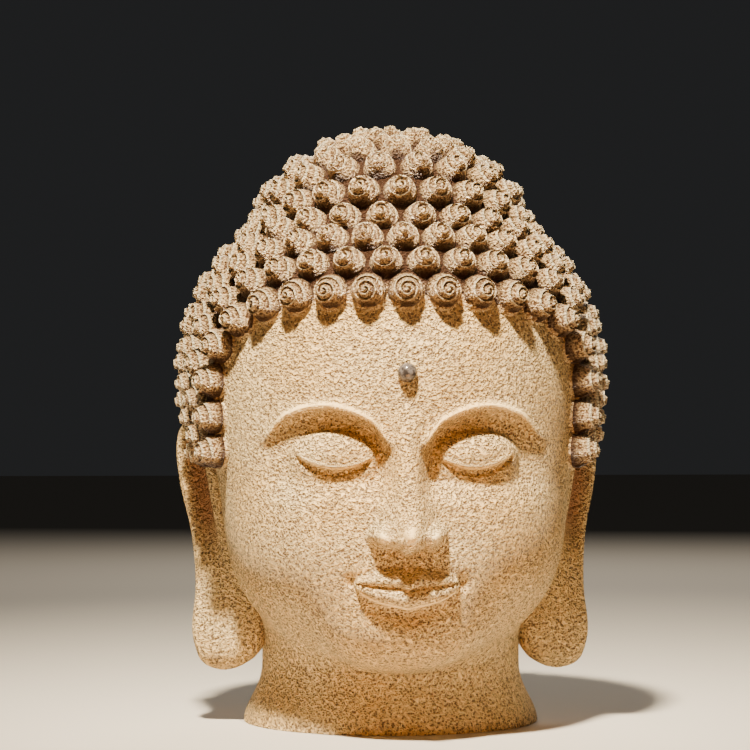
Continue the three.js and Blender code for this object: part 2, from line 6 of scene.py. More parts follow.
import bmesh
import bpy
import numpy as np
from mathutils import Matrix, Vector


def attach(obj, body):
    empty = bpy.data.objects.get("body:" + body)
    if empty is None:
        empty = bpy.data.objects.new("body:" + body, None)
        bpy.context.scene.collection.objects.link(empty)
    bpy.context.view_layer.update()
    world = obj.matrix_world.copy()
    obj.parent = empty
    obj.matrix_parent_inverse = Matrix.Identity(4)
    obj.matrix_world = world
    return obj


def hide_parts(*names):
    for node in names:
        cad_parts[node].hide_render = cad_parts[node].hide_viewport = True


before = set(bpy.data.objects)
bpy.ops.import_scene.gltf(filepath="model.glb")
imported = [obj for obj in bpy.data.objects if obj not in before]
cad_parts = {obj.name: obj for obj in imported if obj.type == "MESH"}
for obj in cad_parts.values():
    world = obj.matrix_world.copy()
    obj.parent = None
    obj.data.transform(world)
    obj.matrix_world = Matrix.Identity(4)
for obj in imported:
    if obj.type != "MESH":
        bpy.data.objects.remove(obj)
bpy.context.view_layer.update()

MM = 0.001

# Bare head: skull, hair bun, mid face, jaw and chin are blended ellipsoids.
SKULL = {"y": -5, "z": 262, "half": (144, 152, 134)}
BUN = {"y": -1, "z": 366, "half": (90, 92, 64)}
MID_FACE = {"y": -37, "z": 188, "half": (130, 122, 140)}
JAW = {"y": -51, "z": 128, "half": (112, 108, 77)}
CHIN = {"y": -119, "z": 80, "half": (52, 42, 31)}
SKULL_BLEND = 26
BUN_BLEND = 10
JAW_BLEND = 34
CHIN_BLEND = 30

# Neck: an elliptical column over the origin that flares to the foot.
NECK_DEPTH_LESS_WIDTH = -6
FOOT_HALF_WIDTH = 111.5
NECK_HALF_WIDTH = 97.5
FLARE_HEIGHT = 46
NECK_TOP = 190
NECK_BLEND = 16

# Face, laid out on twelve equal steps of its height, hairline to chin.
HAIRLINE_Z = 308
CHIN_Z = 52
STEP = (HAIRLINE_Z - CHIN_Z) / 12
BROW_Z = CHIN_Z + 8.05 * STEP
EYE_Z = CHIN_Z + 7 * STEP
NOSE_Z = CHIN_Z + 4 * STEP
MOUTH_Z = CHIN_Z + 2.75 * STEP
EYE_WIDTH = 2.4 * STEP
EYE_X = EYE_WIDTH
MOUTH_HALF_WIDTH = 1.75 * STEP

BROW_RISE = 14
BROW_RIDGE = 2.6
BROW_END_X = 102
SOCKET_DEPTH = 12
LID_DEPTH = 11
LID_TOP = 18
LID_DIP = 8
LID_STEP = 3.4
EYE_SLIT = 4.5
NOSE_ROOT_Z = BROW_Z - 6
NOSE_TIP_Z = NOSE_Z + 9
NOSE_ROOT_RISE = 8
NOSE_RISE = 29
NOSE_BALL_RISE = 4
NOSE_WING_X = 19
NOSE_WING_RISE = 15
UPPER_LIP_RISE = 7
LOWER_LIP_RISE = 8
UPPER_LIP_HEIGHT = 12
LOWER_LIP_HEIGHT = 14
CHEEK_RISE = 3
FACE_FADE_Y = (-45, -85)

# Hair: arches of snail curls round the face, over a cap that stands proud of the skin.
CAP_THICKNESS = 6
CAP_EDGE_FADE = (0.42, 0.52)
CAP_INNER_FADE = (0.92, 1.02)
CURL_HEIGHT = 14
CURL_PITCH = 25
ROW_PITCH = 22
FIRST_ROW_Z = 318
ARCHES = 14
ARCH_POINTS = 240
CLEAR_SHARE = 0.78
FILL_SHARE = 0.7
SIDEBURN_ANGLE = 64.5
SIDEBURN_END_Z = 200
TEMPLE_Z = 231
TEMPLE_ROUND = 3.2
EAR_FRONT_ANGLE = 82
EAR_HAIR_ANGLE = 112
EAR_CLEARANCE = 4
NAPE_Z = 118
CROWN_Z = BUN["z"] + BUN["half"][2]

# Whorls of one curl: a ball with a raised line that winds up it.
CURL_HALF_WIDTH = 13.2
CURL_FULLNESS = 2.2
WHORL_TURNS = 2.6
WHORL_TURNS_LEFT_OPEN = 0.35
WHORL_TIGHTENING = 0.95
WHORL_SEGMENTS = 16
LINE_RISE = 1.5
LINE_GROOVE = 1.2
LINE_HALF_WIDTH = 1.1
LINE_START = math.radians(-110)
LINE_FADE_TURNS = 0.4
CURL_SINK = 4
CURL_LIFT_SHARE = 0.6
EDGE_LIFT_SHARE = 0.1

# Ears: plates with a rolled rim, a hollow and a lobe. Roots and rims go out from the skull's half width.
EAR_TOP_Z = 237
LOBE_BOTTOM_Z = 39
EAR_ROOT_OUT = [
    (0, -19), (0.005, -24.5), (0.02, -31), (0.05, -39), (0.116, -46),
    (0.31, -42), (0.51, -26), (0.71, -18), (1, -10),
]
EAR_ROOT_Y = [(0, -9), (0.1, -15), (0.31, -13), (0.56, -12), (0.8, -14), (1, -1)]
EAR_RIM_OUT = [
    (0, -15), (0.005, -9.5), (0.02, -3.5), (0.05, 1.5), (0.15, 6),
    (0.31, 3), (0.51, 4), (0.72, 13), (0.9, 15), (1, 4),
]
EAR_RIM_Y = [(0, -5), (0.15, 1), (0.36, 9), (0.61, 27), (0.84, 39), (0.95, 33), (1, 15)]
EAR_THICKNESS = [(0, 3), (0.02, 13), (0.055, 21), (0.16, 25), (0.36, 20), (0.56, 16), (0.81, 14), (1, 8)]
EAR_HOLLOW = [(0, 0), (0.4, 0), (0.52, 6), (0.76, 10), (0.92, 7), (1, 0)]
EAR_RINGS = 72
EAR_END_CROWDING = 0.09
EAR_SPANS = 36

# Bead inlaid in the forehead.
BEAD_RADIUS = 7
BEAD_Z = 262
BEAD_PROUD = 2
BEAD_SEGMENTS = 48
BEAD_RINGS = 32

# Surface grid of the bare head, before the face is divided more finely.
CENTRE = np.array([0.0, -10.0, 200.0])
COLUMNS = 120
NECK_ROWS = 9
HEAD_ROWS = 46
WELD_DISTANCE = 0.01
SHARP_ANGLE = math.radians(50)

# The skin is found along a ray from inside, between two lengths that are halved towards it.
RAY_START = 20.0
RAY_END = 300.0
RAY_HALVINGS = 26
NORMAL_STEP = 0.5

# Colours, as linear light.
SKIN_PALE = (0.97, 0.70, 0.32)
SKIN_WARM = (0.90, 0.57, 0.20)
# The next colour is painted shade, laid in the pits of the grain.
SKIN_PIT_SHADE = (0.31, 0.18, 0.075)
# The next colour is painted shade in the hollows of the ears.
EAR_HOLLOW_SHADE = (0.46, 0.20, 0.06)
# The next colour is the worn raised line of the curls with a painted highlight on it.
CURL_LINE_WEAR_AND_HIGHLIGHT = (1.0, 0.80, 0.50)
CURL_GOLD = (0.98, 0.66, 0.32)
CURL_DARK = (0.22, 0.105, 0.045)
# The next colour is painted shade: in the curls' grooves, at their sunk foot, on the cap between them and
# on their downward sides.
CURL_GROOVE_SHADE = (0.085, 0.036, 0.015)
BEAD_DARK = (0.055, 0.042, 0.034)
BEAD_LIGHT = (0.22, 0.18, 0.15)
FLOOR_COLOUR = (0.58, 0.51, 0.41)
WORLD_COLOUR = (0.9, 0.92, 0.95)
WORLD_STRENGTH = 0.02

# Grain of the stone, as cycles in a metre, and its depth in metres.
PIT_SCALE = 520
PIT_SHAKE = 0.0018
FLAKE_SCALE = 560
CLOUD_SCALE = 12
GRAIN_DEPTH = 0.0055
HAIR_GRAIN = 2.2
BEAD_CLOUD_SCALE = 320

# Gloss of the skin, the hair, the bead and the floor.
SKIN_ROUGHNESS = 0.7
HAIR_ROUGHNESS = 0.38
HAIR_METALLIC = 0.2
BEAD_ROUGHNESS = 0.16
BEAD_METALLIC = 0.3
FLOOR_ROUGHNESS = 0.9

# Camera, from the photograph's frame of 750 by 750.
FRAME_PIXELS = 750
SENSOR = 36
FOCAL_PIXELS = 2765
CAMERA_DISTANCE = 2.09
CAMERA_HEIGHT = 0.25
CAMERA_TURN = math.radians(4.3)
HEAD_MIDDLE_Y = -15
HEAD_RIGHT_PIXELS = 17
HORIZON_LOW_PIXELS = 15

# Floor and lights, in metres and watts: a high key light, and a warm low one for light off the ground.
FLOOR_SIZE = 12
FLOOR_DROP = 0.0002
WARM_WHITE = (1.0, 0.95, 0.88)
LIGHTS = [
    {
        "name": "key",
        "place": (-0.3, -0.95, 2.0),
        "target": (0, -0.08, 0.22),
        "size": 0.16,
        "watts": 15,
        "colour": (1.0, 0.91, 0.75),
        "spread": 46,
    },
    {
        "name": "fill",
        "place": (1.6, -1.8, 0.9),
        "target": (0, 0, 0.2),
        "size": 1.6,
        "watts": 1.5,
        "colour": WARM_WHITE,
        "spread": 180,
    },
    {
        "name": "low",
        "place": (0.0, -0.42, 0.02),
        "target": (0, -0.2, 0.3),
        "size": 0.3,
        "watts": 1.3,
        "colour": (1.0, 0.42, 0.09),
        "spread": 180,
    },
    {
        "name": "back",
        "place": (0.3, 1.8, 1.5),
        "target": (0, 0, 0.25),
        "size": 1.2,
        "watts": 24,
        "colour": WARM_WHITE,
        "spread": 180,
    },
]


def smooth(start, stop, value):
    t = np.clip((value - start) / (stop - start), 0.0, 1.0)
    return t * t * (3.0 - 2.0 * t)


def hill(distance, width):
    return np.exp(-((distance / width) ** 2))


def curve(points, at):
    """Smooth curve through (at, value) pairs, level at both ends."""
    places = np.array([p[0] for p in points], float)
    values = np.array([p[1] for p in points], float)
    slopes = np.zeros(len(points))
    slopes[1:-1] = (values[2:] - values[:-2]) / (places[2:] - places[:-2])
    at = np.clip(at, places[0], places[-1])
    i = np.clip(np.searchsorted(places, at, side="right") - 1, 0, len(points) - 2)
    span = places[i + 1] - places[i]
    t = (at - places[i]) / span
    start = (1 + 2 * t) * (1 - t) ** 2 * values[i] + t * (1 - t) ** 2 * span * slopes[i]
    end = t * t * (3 - 2 * t) * values[i + 1] + t * t * (t - 1) * span * slopes[i + 1]
    return start + end


def ellipsoid(x, y, z, shape):
    """Distance to an ellipsoid, near enough close to its surface."""
    a, b, c = shape["half"]
    ux = x / a
    uy = (y - shape["y"]) / b
    uz = (z - shape["z"]) / c
    reach = np.sqrt(ux * ux + uy * uy + uz * uz)
    steepness = np.sqrt((ux / a) ** 2 + (uy / b) ** 2 + (uz / c) ** 2)
    return reach * (reach - 1) / np.maximum(steepness, 1e-6)


def join(a, b, width):
    """Union of two distances with a fillet of the given width."""
    overlap = np.maximum(width - np.abs(a - b), 0) / width
    return np.minimum(a, b) - overlap * overlap * width / 4


def neck_half_width(z):
    flare = 1 - smooth(0, FLARE_HEIGHT, z)
    return NECK_HALF_WIDTH + (FOOT_HALF_WIDTH - NECK_HALF_WIDTH) * flare ** 1.4


def neck_field(x, y, z):
    half_width = neck_half_width(z)
    half_depth = half_width + NECK_DEPTH_LESS_WIDTH
    reach = np.hypot(x / half_width, y / half_depth)
    return np.maximum((reach - 1) * half_depth, z - NECK_TOP)


def brow_line(side):
    inner = (10, BROW_Z - 12)
    top = (0.55 * BROW_END_X, BROW_Z + BROW_RISE)
    outer = (BROW_END_X, BROW_Z - 8)
    return curve([inner, (26, BROW_Z + 4), top, (84, BROW_Z + 8), outer], side)


def eye_share(side):
    """Place across the eye: -1 at the inner corner, 1 at the outer."""
    return (side - EYE_X) / (EYE_WIDTH / 2)


def lid_line(side):
    across = np.clip(eye_share(side), -1.3, 1.3)
    return EYE_Z - LID_DIP * np.maximum(1 - across ** 2, -0.2) + 1.2 * across


def eye_relief(side, z):
    brow = brow_line(side)
    brow_span = smooth(6, 20, side) * (1 - smooth(BROW_END_X - 20, BROW_END_X + 8, side))
    ridge = BROW_RIDGE * hill(z - brow, 5) * brow_span
    depth = SOCKET_DEPTH * (1 - 0.6 * smooth(34, 84, side)) * brow_span
    socket = depth * smooth(brow, brow - 9, z) * smooth(EYE_Z - 34, EYE_Z - 12, z)
    across = eye_share(side)
    up = z - EYE_Z - 2
    tall = np.maximum(up, 0) / LID_TOP
    ball = LID_DEPTH * np.maximum(1 - (across / 1.22) ** 2 - tall ** 2, 0) ** 0.66 * smooth(-30, 0, up)
    lid = lid_line(side)
    span = 1 - smooth(0.86, 1.12, np.abs(across))
    bottom = lid - EYE_SLIT * np.sqrt(np.maximum(1 - (across / 1.15) ** 2, 0))
    rim = 0.9 * hill(z - lid - 2.2, 1.8) * span
    open_part = smooth(lid + 0.9, lid - 0.9, z)
    back = 0.6 * smooth(bottom + 1, bottom - 1, z) + 0.4 * smooth(bottom - 1, bottom - 12, z)
    step = LID_STEP * open_part * (1 - back) * span
    lower_lid = 1.1 * hill(z - bottom + 4, 3.5) * span
    return ridge - socket + ball + rim - step + lower_lid


def nose_relief(side, z):
    down = np.clip((NOSE_ROOT_Z - z) / (NOSE_ROOT_Z - NOSE_TIP_Z), 0, 1)
    above = smooth(NOSE_ROOT_Z + 26, NOSE_ROOT_Z - 2, z)
    base = NOSE_Z - 3 * hill(side, 6) + 5 * smooth(14, NOSE_WING_X + 9, side)
    under = smooth(base - 3, base + 7, z)
    rise = (NOSE_ROOT_RISE + (NOSE_RISE - NOSE_ROOT_RISE) * down ** 1.15) * above * under
    half_width = 9 + 8 * down
    ridge = rise * np.exp(-((side / half_width) ** 2.4))
    ball = NOSE_BALL_RISE * hill(side, 9) * hill(z - NOSE_TIP_Z - 2, 8) * under
    wing_up = z - NOSE_TIP_Z
    wing_reach = ((side - NOSE_WING_X) / 9.5) ** 2 + (wing_up / 11) ** 2
    wing = NOSE_WING_RISE * np.maximum(1 - wing_reach, 0) ** 0.6 * under
    nostril = 6 * hill(side - 9.5, 4) * hill(z - base - 1, 3.2)
    return np.maximum(ridge, 0.6 * ridge + wing) + ball - nostril


def lip_swell(share):
    """Cross-section of a lip: 0 at both its edges, full between them."""
    return np.sqrt(np.clip(4 * share * (1 - share), 0, 1))


def lip_edges(side):
    """Heights of the upper lip's top, of the line between the lips and of the lower lip's foot."""
    out = side / MOUTH_HALF_WIDTH
    taper = np.sqrt(np.maximum(1 - out ** 2, 0))
    line = MOUTH_Z + 3.2 * out * out - 1.6 * hill(side, 5)
    bow = 1 - 0.22 * hill(side, 4.5) + 0.1 * hill(side - 9, 5)
    return line + UPPER_LIP_HEIGHT * taper * bow * (1 - 0.25 * out), line, line - LOWER_LIP_HEIGHT * taper


def mouth_relief(side, z):
    upper_edge, line, lower_edge = lip_edges(side)
    taper = np.sqrt(np.maximum(1 - (side / MOUTH_HALF_WIDTH) ** 2, 0))
    upper = lip_swell((z - line) / np.maximum(upper_edge - line, 0.5))
    lower = lip_swell((line - z) / np.maximum(line - lower_edge, 0.5))
    lips = (UPPER_LIP_RISE * upper + LOWER_LIP_RISE * lower) * taper ** 0.6
    mound = 5 * hill(side, 40) * hill(z - MOUTH_Z, 22)
    corner = 3 * hill(side - MOUTH_HALF_WIDTH - 2, 5) * hill(z - line, 6)
    under_lip = 7 * hill(side, 24) * hill(z - (lower_edge - 5), 6.5)
    lifted = smooth(upper_edge, upper_edge + 4, z) * smooth(NOSE_Z + 2, NOSE_Z - 4, z)
    groove = 2.2 * hill(side, 4) * lifted
    dip = 1.5 * hill(side, 30) * hill(z - upper_edge - 3, 4)
    return lips + mound - corner - under_lip - groove - dip


def worn_edges(p):
    """How far a point of the face lies on an edge that is rubbed smooth, 0 to 1."""
    side = np.abs(p[:, 0])
    z = p[:, 2]
    brow_span = smooth(8, 20, side) * (1 - smooth(BROW_END_X - 14, BROW_END_X, side))
    brow = hill(z - brow_line(side) - 1.5, 3.4) * brow_span
    lid = hill(z - lid_line(side) - 1.5, 1.8) * (1 - smooth(0.9, 1.1, np.abs(eye_share(side))))
    upper_edge, line, lower_edge = lip_edges(side)
    on_lips = side < MOUTH_HALF_WIDTH - 1
    lips = np.maximum(hill(z - upper_edge + 1, 1.6), hill(z - lower_edge - 1, 1.6)) * on_lips
    nose = hill(side, 7) * hill(z - NOSE_TIP_Z - 3, 8)
    wings = hill(side - NOSE_WING_X, 5) * hill(z - NOSE_TIP_Z - 1, 5)
    front = smooth(*FACE_FADE_Y, p[:, 1])
    return front * np.clip(brow + lid + lips + nose + wings, 0, 1)


def face_relief(x, y, z):
    side = np.abs(x)
    front = smooth(*FACE_FADE_Y, y)
    cheek = CHEEK_RISE * hill(side - 74, 34) * hill(z - NOSE_Z - 12, 40)
    return front * (eye_relief(side, z) + nose_relief(side, z) + mouth_relief(side, z) + cheek)


def skin_field(p):
    """Distance to the bare head, negative inside, for points in rows of x, y, z."""
    x, y, z = p[..., 0], p[..., 1], p[..., 2]
    skull = join(ellipsoid(x, y, z, SKULL), ellipsoid(x, y, z, BUN), BUN_BLEND)
    jaw = join(ellipsoid(x, y, z, JAW), ellipsoid(x, y, z, CHIN), CHIN_BLEND)
    face = join(ellipsoid(x, y, z, MID_FACE), jaw, JAW_BLEND)
    head = join(skull, face, SKULL_BLEND)
    return join(head, neck_field(x, y, z), NECK_BLEND) - face_relief(x, y, z)


def leave_skin(start, direction):
    """Points where rays from inside the head leave the skin."""
    inside = np.full(direction.shape[0], RAY_START)
    outside = np.full(direction.shape[0], RAY_END)
    for _ in range(RAY_HALVINGS):
        middle = (inside + outside) / 2
        within = skin_field(start + direction * middle[:, None]) < 0
        inside = np.where(within, middle, inside)
        outside = np.where(within, outside, middle)
    return start + direction * inside[:, None]


def skin_at_height(angle, z):
    """Skin points on the sides that angles from the front name, at the given heights."""
    angle = np.atleast_1d(np.asarray(angle, float))
    z = np.broadcast_to(np.asarray(z, float), angle.shape)
    start = np.stack([np.zeros_like(angle), np.full_like(angle, SKULL["y"]), z], axis=1)
    direction = np.stack([np.sin(angle), -np.cos(angle), np.zeros_like(angle)], axis=1)
    return leave_skin(start, direction)


def skin_normals(p):
    gradient = np.zeros_like(p)
    for axis in range(3):
        shift = np.zeros(3)
        shift[axis] = NORMAL_STEP
        gradient[:, axis] = skin_field(p + shift) - skin_field(p - shift)
    return gradient / np.linalg.norm(gradient, axis=1, keepdims=True)


def hair_edge(z):
    """Turn from the front, in degrees, at which the hair starts beside the face."""
    climb = np.clip((z - TEMPLE_Z) / (FIRST_ROW_Z - TEMPLE_Z), 0, 1)
    return SIDEBURN_ANGLE * (1 - climb ** TEMPLE_ROUND) ** (1 / TEMPLE_ROUND)


def hair_grows_at(turn, z):
    """Whether curls stand at a turn from the front and a height, clear of the ears and the neck."""
    if z >= SIDEBURN_END_Z:
        beside_ear = z < EAR_TOP_Z + EAR_CLEARANCE and EAR_FRONT_ANGLE < turn < EAR_HAIR_ANGLE
        return not beside_ear
    return z >= NAPE_Z and turn > EAR_HAIR_ANGLE


def arch_tops():
    """Heights of the arches over the face, stepped up the outline of the bare head and on beyond it."""
    tops = [FIRST_ROW_Z]
    heights = np.arange(FIRST_ROW_Z, CROWN_Z - 1, 0.5)
    outline = skin_at_height(np.full(len(heights), math.pi / 2), heights)
    travelled = 0.0
    for last, point in zip(outline[:-1], outline[1:]):
        travelled += np.linalg.norm(point - last)
        if travelled >= ROW_PITCH:
            tops.append(point[2])
            travelled = 0.0
    while len(tops) <= ARCHES + 2:
        tops.append(tops[-1] + ROW_PITCH)
    return tops


def arch_of_curls(index, top, pitch):
    """Turns and heights of the curls down the right half of one arch, every other arch half a step on."""
    side_turn = SIDEBURN_ANGLE + (180 - SIDEBURN_ANGLE) * index / ARCHES
    bend = np.linspace(math.pi / 2, 0, ARCH_POINTS)
    z = TEMPLE_Z + (top - TEMPLE_Z) * np.sin(bend) ** (2 / TEMPLE_ROUND)
    turn = side_turn * np.cos(bend) ** (2 / TEMPLE_ROUND)
    on_head = z < CROWN_Z - 1
    path = skin_at_height(np.radians(turn[on_head]), z[on_head])
    travelled = np.concatenate([[0], np.cumsum(np.linalg.norm(np.diff(path, axis=0), axis=1))])
    count = max(round(travelled[-1] / pitch), 1)
    shift = 0.5 * (index % 2)
    at = np.arange(shift, count + 0.1, 1) * travelled[-1] / count
    turns = np.interp(at, travelled, turn[on_head])
    heights = np.interp(at, travelled, z[on_head])
    below = np.arange(TEMPLE_Z - pitch * (1 - shift), NAPE_Z, -pitch)
    return np.append(turns, np.full(len(below), side_turn)), np.append(heights, below)


def curl_places():
    """Places of the curls on the skin, in arches round the face, and which of them edge the hair."""
    tops = arch_tops()
    places = [np.array([0.0, BUN["y"], CROWN_Z])]

    def add_arch(index, pitch, clear, lowest):
        turns, heights = arch_of_curls(index, tops[index], pitch)
        for sign in (1, -1):
            for turn, place in zip(turns, skin_at_height(np.radians(turns * sign), heights)):
                away = min(np.linalg.norm(place - other) for other in places)
                if hair_grows_at(turn, place[2]) and place[2] > lowest and away > clear:
                    places.append(place)

    add_arch(0, CURL_PITCH, CLEAR_SHARE * CURL_PITCH, NAPE_Z)
    on_edge = set(range(1, len(places)))
    for index in range(1, ARCHES + 1):
        add_arch(index, CURL_PITCH, CLEAR_SHARE * CURL_PITCH, NAPE_Z)
    for index in range(1, len(tops)):
        add_arch(index, CURL_PITCH / 5, FILL_SHARE * CURL_PITCH, FIRST_ROW_Z)
    return np.array(places), on_edge


class Carving:
    """Vertices, faces and painted values of the one stone piece."""

    def __init__(self):
        self.points = []
        self.faces = []
        self.values = {"hair": [], "hollow": [], "worn": []}

    def add(self, points, faces, hair, hollow, worn=0.0):
        base = len(self.points)
        count = len(points)
        self.points.extend(map(tuple, points))
        self.faces.extend(tuple(base + i for i in face) for face in faces)
        self.values["hair"].extend(np.broadcast_to(hair, (count,)))
        self.values["hollow"].extend(np.broadcast_to(hollow, (count,)))
        self.values["worn"].extend(np.broadcast_to(worn, (count,)))

    def build(self, name):
        mesh = bpy.data.meshes.new(name)
        mesh.from_pydata([tuple(c * MM for c in p) for p in self.points], [], self.faces)
        for key, values in self.values.items():
            layer = mesh.attributes.new(key, "FLOAT", "POINT")
            layer.data.foreach_set("value", np.array(values, np.float32))
        mesh.validate()
        mesh.shade_smooth()
        piece = bpy.data.objects.new(name, mesh)
        bpy.context.scene.collection.objects.link(piece)
        return piece


def grid_to_skin(across, up):
    """Skin points of a grid: across is the turn round the head, up runs 0 to 1 from foot to crown."""
    neck_share = NECK_ROWS / (NECK_ROWS + HEAD_ROWS)
    z = FLARE_HEIGHT * np.clip(up / neck_share, 0, 1)
    half_width = neck_half_width(z)
    half_depth = half_width + NECK_DEPTH_LESS_WIDTH
    on_neck = np.stack([half_width * np.sin(across), -half_depth * np.cos(across), z], axis=1)
    sight = on_neck - CENTRE
    round_axis = np.arctan2(sight[:, 0], -sight[:, 1])
    lean = np.arctan2(np.hypot(sight[:, 0], sight[:, 1]), -sight[:, 2])
    rest = np.clip((up - neck_share) / (1 - neck_share), 0, 1)
    lean = lean + (math.pi - lean) * rest
    direction = np.stack([
        np.sin(lean) * np.sin(round_axis),
        -np.sin(lean) * np.cos(round_axis),
        -np.cos(lean),
    ], axis=1)
    on_head = leave_skin(CENTRE, direction)
    return np.where((up < neck_share)[:, None], on_neck, on_head)


def divide(grid, chosen):
    """Divide each edge of the grid whose middle is chosen into two."""
    coordinates = np.array([v.co for v in grid.verts])
    ends = np.array([[e.verts[0].index, e.verts[1].index] for e in grid.edges])
    middles = (coordinates[ends[:, 0]] + coordinates[ends[:, 1]]) / 2
    picked = chosen(grid_to_skin(middles[:, 0], middles[:, 1]))
    edges = [e for e, pick in zip(grid.edges, picked) if pick]
    bmesh.ops.subdivide_edges(grid, edges=edges, cuts=1, use_grid_fill=True)
    grid.verts.index_update()


def is_bare(p):
    """Which points lie on the bare skin of the face, neck and nape."""
    turn = np.degrees(np.abs(np.arctan2(p[:, 0], SKULL["y"] - p[:, 1])))
    front = (p[:, 2] < FIRST_ROW_Z + 4) & (turn < hair_edge(p[:, 2]) + 2)
    below = (p[:, 2] < SIDEBURN_END_Z) & (turn < EAR_HAIR_ANGLE + 6)
    return front | below | (p[:, 2] < NAPE_Z)


def is_face(p):
    """Which points lie on the front of the face."""
    return (p[:, 1] < -70) & (p[:, 2] > CHIN_Z - 8) & (p[:, 2] < HAIRLINE_Z + 4)


def is_feature(p):
    """Which points lie round the eyes, the nose and the mouth."""
    side = np.abs(p[:, 0])
    by_eyes = (side < 88) & (np.abs(p[:, 2] - EYE_Z - 8) < 36)
    by_mouth = (side < MOUTH_HALF_WIDTH + 8) & (np.abs(p[:, 2] - MOUTH_Z - 9) < 42)
    return (p[:, 1] < -90) & (by_eyes | by_mouth)


def nearest(p, places, rank):
    """Distances of each point to its nearest places, from the nearest to the one of the given rank."""
    result = []
    for chunk in np.array_split(p, max(len(p) // 4000, 1)):
        away = np.linalg.norm(chunk[:, None, :] - places[None, :, :], axis=2)
        result.append(np.sort(np.partition(away, rank, axis=1)[:, :rank + 1], axis=1))
    return np.concatenate(result)


def add_skin(carving, places):
    """Bare head with the hair cap standing proud of it, the cap painted with the shade between the curls.
    """
    grid = bmesh.new()
    bmesh.ops.create_grid(grid, x_segments=COLUMNS, y_segments=NECK_ROWS + HEAD_ROWS, size=1)
    for v in grid.verts:
        v.co = ((v.co.x + 1) * math.pi - math.pi, (v.co.y + 1) / 2, 0)
    grid.verts.index_update()
    divide(grid, is_bare)
    divide(grid, is_face)
    divide(grid, is_feature)
    flat = np.array([v.co for v in grid.verts])
    faces = [tuple(v.index for v in f.verts) for f in grid.faces]
    grid.free()
    skin = grid_to_skin(flat[:, 0], flat[:, 1])
    away = nearest(skin, places, 2) / CURL_PITCH
    edge = 1 - smooth(*CAP_EDGE_FADE, away[:, 0])
    interior = 1 - smooth(*CAP_INNER_FADE, away[:, 2])
    cap = np.maximum(edge, interior)
    lifted = skin + skin_normals(skin) * (CAP_THICKNESS * cap)[:, None]
    # The cap between the curls is given full painted shade, as in the curls' grooves.
    carving.add(lifted, faces, cap, cap, worn_edges(skin))
    rim_angles = 2 * math.pi * np.arange(COLUMNS) / COLUMNS
    half_depth = FOOT_HALF_WIDTH + NECK_DEPTH_LESS_WIDTH
    rim = [(FOOT_HALF_WIDTH * math.sin(a), -half_depth * math.cos(a), 0) for a in rim_angles]
    carving.add(rim, [tuple(range(COLUMNS))], 0, 0)


def curl_form():
    """One snail curl round the origin, tip up, with each point's value of painted shade: 0 on the raised
    line and the tip, which take a painted highlight, up to 1 on the sunk skirt.
    """
    segments = WHORL_SEGMENTS
    total = round(WHORL_TURNS * segments)
    turn = np.arange(total + 1) / segments
    inward = turn / (WHORL_TURNS + WHORL_TURNS_LEFT_OPEN)
    reach = (CURL_HALF_WIDTH - LINE_HALF_WIDTH) * (1 - inward) ** WHORL_TIGHTENING
    taper = smooth(0, LINE_FADE_TURNS, turn)
    level = np.zeros_like(taper)
    points = []
    hollow = []

    def ring(reaches, proud, depth):
        start = len(points)
        for out, at, rise, deep in zip(reaches, turn, proud, depth):
            angle = 2 * math.pi * at + LINE_START
            height = CURL_HEIGHT * (1 - (min(out, CURL_HALF_WIDTH) / CURL_HALF_WIDTH) ** CURL_FULLNESS)
            points.append((out * math.cos(angle), out * math.sin(angle), height + rise))
            hollow.append(deep)
        return start

    outer = ring(reach + LINE_HALF_WIDTH, level, 0.5 + level)
    crest = ring(reach, LINE_RISE * taper, 0.5 - 0.5 * taper)
    inner = ring(reach - LINE_HALF_WIDTH, -LINE_GROOVE * taper, 0.5 + 0.35 * taper)
    skirt = len(points)
    # The sunk skirt at the foot of the curl takes full painted shade.
    for at in turn[:segments]:
        angle = 2 * math.pi * at + LINE_START
        points.append((CURL_HALF_WIDTH * math.cos(angle), CURL_HALF_WIDTH * math.sin(angle), -CURL_SINK))
        hollow.append(1.0)
    # The tip takes the lit colour of the raised line, a painted highlight.
    points.append((0, 0, CURL_HEIGHT + LINE_RISE))
    hollow.append(0.0)
    tip = len(points) - 1
    faces = []
    for i in range(total):
        faces.append((outer + i, outer + i + 1, crest + i + 1, crest + i))
        faces.append((crest + i, crest + i + 1, inner + i + 1, inner + i))
        if i + segments < total:
            faces.append((inner + i, inner + i + 1, outer + i + 1 + segments, outer + i + segments))
        else:
            faces.append((inner + i, inner + i + 1, tip))
    for i in range(segments - 1):
        faces.append((skirt + i, skirt + i + 1, outer + i + 1, outer + i))
    last = segments - 1
    faces.append((skirt + last, skirt, outer, outer + segments, outer + last))
    faces.append((outer, crest, inner, outer + segments))
    before = total - segments
    faces.append((outer + total, inner + before, tip, inner + total, crest + total))
    faces.append(tuple(skirt + i for i in reversed(range(segments))))
    return np.array(points), faces, np.array(hollow)


def slope_axes(normal):
    """Two directions square to a normal: one level, one up the slope."""
    level = np.array([-normal[1], normal[0], 0.0])
    if np.linalg.norm(level) < 0.05:
        level = np.array([1.0, 0.0, 0.0])
    level /= np.linalg.norm(level)
    return level, np.cross(normal, level)


